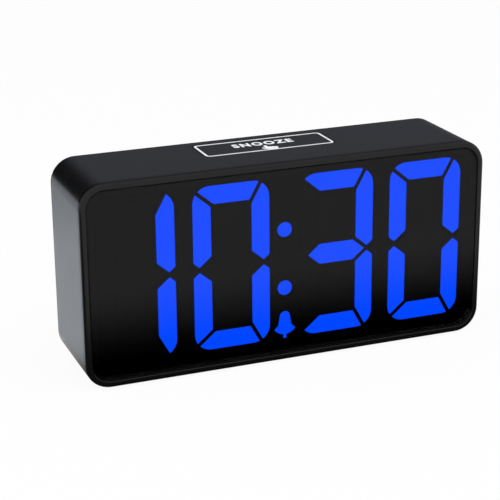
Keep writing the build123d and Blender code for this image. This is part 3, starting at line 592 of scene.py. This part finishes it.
def card(name, corners, material):
    """A flat card between four corners, linked to the scene and joined to no body."""
    mesh = bpy.data.meshes.new(name)
    mesh.from_pydata(corners, [], [(0, 1, 2, 3)])
    mesh.materials.append(material)
    sheet = bpy.data.objects.new(name, mesh)
    bpy.context.collection.objects.link(sheet)
    return sheet


floor_finish, floor_shader = new_finish("pale_floor", Roughness=0.9, Specular_IOR_Level=0.0,
                                        Base_Color=(FLOOR_WHITE, FLOOR_WHITE, FLOOR_WHITE, 1.0))
white_to_view(floor_finish, floor_shader.outputs[0], FLOOR_SHADOW, "Material Output")
half = FLOOR_SIDE / 2
card("floor", [(x, y, 0.0) for x, y in rectangle(-half, half, -half, half)], floor_finish)

# The cards' colours: white for a painted reflection of the lit floor, black for painted shade.
PAINTED_FLOOR_WHITE = (1.0, 1.0, 1.0)
PAINTED_SHADE_BLACK = (0.0, 0.0, 0.0, 1.0)
CARD_LIFT = 0.0005


def only_mirrored(sheet):
    """Leaves a card to mirrored and transmitted rays, so that it neither shows nor casts a shadow."""
    sheet.visible_camera = sheet.visible_diffuse = sheet.visible_shadow = False
    sheet.visible_volume_scatter = False


def floor_card(name, left, right, front, back, material, lift=CARD_LIFT):
    """A card that lies on the floor."""
    corners = [(x, y, lift) for x, y in rectangle(left, right, front, back)]
    only_mirrored(card(name, corners, material))


def fade(material, value, low, high, first, last):
    """A smooth step from first to last as the value goes from low to high."""
    step = add(material, "ShaderNodeMapRange",
               {"Value": value, "From Min": low, "From Max": high, "To Min": first, "To Max": last},
               interpolation_type="SMOOTHSTEP")
    return step.outputs["Result"]


def painted_reflection_card(name, colour, across, low, high, first, last):
    """A card finish that shines a colour as a painted reflection, from a first to a last strength between
    two places on x or y; where the strength falls to nothing, the black card paints shade.
    """
    material, shader = new_finish(name, Base_Color=PAINTED_SHADE_BLACK, Roughness=1.0, Specular_IOR_Level=0.0,
                                  Emission_Color=(*colour, 1.0))
    split = add(material, "ShaderNodeSeparateXYZ", {"Vector": own_place(material)})
    strength = fade(material, split.outputs[across], low, high, first, last)
    feed(material, shader, Emission_Strength=strength)
    return material


# Painted reflection: a dim glowing card behind the clock paints the sheen of the case's top, fading to black
# towards its left end.
BACK_CARD_PLACE = 0.34
BACK_CARD_LEFT, BACK_CARD_RIGHT = -0.60, 1.00
BACK_CARD_LOW, BACK_CARD_HIGH = 0.03, 1.2
BACK_DARK_END, BACK_GLOW_START = -0.15, 0.02
BACK_GLOW = 0.155
TOP_SHEEN_TINT = (0.90, 0.925, 1.09)
top_sheen_finish = painted_reflection_card("painted_top_sheen_card", TOP_SHEEN_TINT, "X", BACK_DARK_END, BACK_GLOW_START, 0.0, BACK_GLOW)
back_shape = rectangle(BACK_CARD_LEFT, BACK_CARD_RIGHT, BACK_CARD_LOW, BACK_CARD_HIGH)
only_mirrored(card("painted_top_sheen_card", [(x, BACK_CARD_PLACE, z) for x, z in back_shape], top_sheen_finish))

# Painted reflection and painted shadow: a card on the floor in front shows the window a glowing floor far
# off, fading to black near the clock, where its own shadow would fall.
CARD_REACH = 0.50
FRONT_CARD_START, FRONT_CARD_DARK, FRONT_CARD_END = -0.016, -0.036, -0.102
floor_shadow_finish = painted_reflection_card("painted_floor_shadow_card", PAINTED_FLOOR_WHITE, "Y", FRONT_CARD_END, FRONT_CARD_DARK, 1.0, 0.0)
floor_card("painted_floor_shadow_card", -CARD_REACH, CARD_REACH, FRONT_CARD_END, FRONT_CARD_START, floor_shadow_finish)

# Painted reflection: two glowing cards on the floor at the left paint the broad sheen of the left side; the
# near one fades to black at its front end, which is painted shade.
SIDE_SHEEN_TINT = (0.93, 0.99, 1.06)
SIDE_CARD_RIGHT = -0.072
SIDE_DARK_END, SIDE_GLOW_START = -0.02, 0.02
SIDE_CARD_MIDDLE, SIDE_FADE_END, SIDE_CARD_END = 0.11, 0.19, 0.60
SIDE_FAR_SHEEN = 0.70
near_side_sheen_finish = painted_reflection_card("painted_side_sheen_card", SIDE_SHEEN_TINT, "Y", SIDE_DARK_END, SIDE_GLOW_START, 0.0, 1.0)
floor_card("painted_side_sheen_card", -CARD_REACH, SIDE_CARD_RIGHT, FRONT_CARD_START, SIDE_CARD_MIDDLE, near_side_sheen_finish)
far_side_sheen_finish = painted_reflection_card("painted_far_side_sheen_card", SIDE_SHEEN_TINT, "Y", SIDE_CARD_MIDDLE, SIDE_FADE_END, 1.0, SIDE_FAR_SHEEN)
floor_card("painted_far_side_sheen_card", -CARD_REACH, SIDE_CARD_RIGHT, SIDE_CARD_MIDDLE, SIDE_CARD_END, far_side_sheen_finish)

# Painted shadow: a card under the clock paints its contact shadow into the gloss of its bottom edges, dim at
# the front and brighter to the back.
UNDER_CARD_END = 0.024
UNDER_FRONT_GLOW, UNDER_BACK_GLOW = 0.06, 0.75
contact_shadow_finish = painted_reflection_card("painted_contact_shadow_card", PAINTED_FLOOR_WHITE, "Y", FRONT_CARD_START, UNDER_CARD_END,
                         UNDER_FRONT_GLOW, UNDER_BACK_GLOW)
floor_card("painted_contact_shadow_card", SIDE_CARD_RIGHT, -SIDE_CARD_RIGHT, FRONT_CARD_START, UNDER_CARD_END, contact_shadow_finish)

# Painted shade: a black card at the left front of the clock, fading out with distance from its middle,
# darkens the gloss at the clock's lower left.
SHADE_MIDDLE = (-0.19, -0.06, 0.0)
SHADE_NEAR, SHADE_FAR = 0.06, 0.12
SHADE_BACK = -0.004
SHADE_LIFT = 0.001
shade_finish, shade_shader = new_finish("shade_card", Base_Color=PAINTED_SHADE_BLACK, Roughness=1.0,
                                        Specular_IOR_Level=0.0)
shade_distance = add(shade_finish, "ShaderNodeVectorMath", {0: own_place(shade_finish), 1: SHADE_MIDDLE},
                     operation="DISTANCE").outputs["Value"]
feed(shade_finish, shade_shader,
     Alpha=fade(shade_finish, shade_distance, SHADE_NEAR, SHADE_FAR, 1.0, 0.0))
floor_card("shade_card", SHADE_MIDDLE[0] - SHADE_FAR, SHADE_MIDDLE[0] + SHADE_FAR,
           SHADE_MIDDLE[1] - SHADE_FAR, SHADE_BACK, shade_finish, lift=SHADE_LIFT)


# The light: an even pale room, and two large soft lamps, one high in front and one at the left.
# The lamps stay out of mirrored light, so that the gloss shows only the room, the floor and the cards.

ROOM_LIGHT = 0.55
CLOCK_MIDDLE = Vector((0.0, 0.0, 0.033))
world = bpy.data.worlds.new("room")
bpy.context.scene.world = world
world.use_nodes = True
room = world.node_tree.nodes["Background"]
room.inputs["Color"].default_value = (1.0, 1.0, 1.0, 1.0)
room.inputs["Strength"].default_value = ROOM_LIGHT
white_to_view(world, room.outputs[0], 0.0, "World Output")


def soft_lamp(name, place, side, power):
    """A square lamp at a place, turned towards the clock."""
    light = bpy.data.lights.new(name, "AREA")
    light.size = side
    light.energy = power
    lamp = bpy.data.objects.new(name, light)
    bpy.context.collection.objects.link(lamp)
    lamp.location = place
    lamp.rotation_euler = (CLOCK_MIDDLE - Vector(place)).to_track_quat("-Z", "Y").to_euler()
    lamp.visible_glossy = False


soft_lamp("high_lamp", place=(0.15, -0.45, 1.0), side=0.9, power=6.0)
soft_lamp("left_lamp", place=(-0.9, 0.05, 0.35), side=0.6, power=4.0)


# The camera: a long lens, left of the clock and above it, aimed a little past its middle.
# Its place, its turn and its lens were fitted to the outline of the case.

VIEW_YAW, VIEW_PITCH, VIEW_ROLL = np.radians((-21.141, 19.148, -0.549))
VIEW_DISTANCE = 0.51121
AIM_RIGHT, AIM_UP = -0.006353, -0.001110
LENS_LENGTH, SENSOR_WIDTH = 114.12, 36.0
view_turn = (Matrix.Rotation(VIEW_YAW, 4, "Z") @ Matrix.Rotation(np.pi / 2 - VIEW_PITCH, 4, "X")
             @ Matrix.Rotation(VIEW_ROLL, 4, "Z"))
view_place = CLOCK_MIDDLE + view_turn @ Vector((AIM_RIGHT, AIM_UP, VIEW_DISTANCE))
lens = bpy.data.cameras.new("camera")
lens.lens = LENS_LENGTH
lens.sensor_width = SENSOR_WIDTH
camera = bpy.data.objects.new("camera", lens)
bpy.context.collection.objects.link(camera)
camera.matrix_world = Matrix.Translation(view_place) @ view_turn
bpy.context.scene.camera = camera
bpy.context.scene.view_settings.view_transform = "Standard"
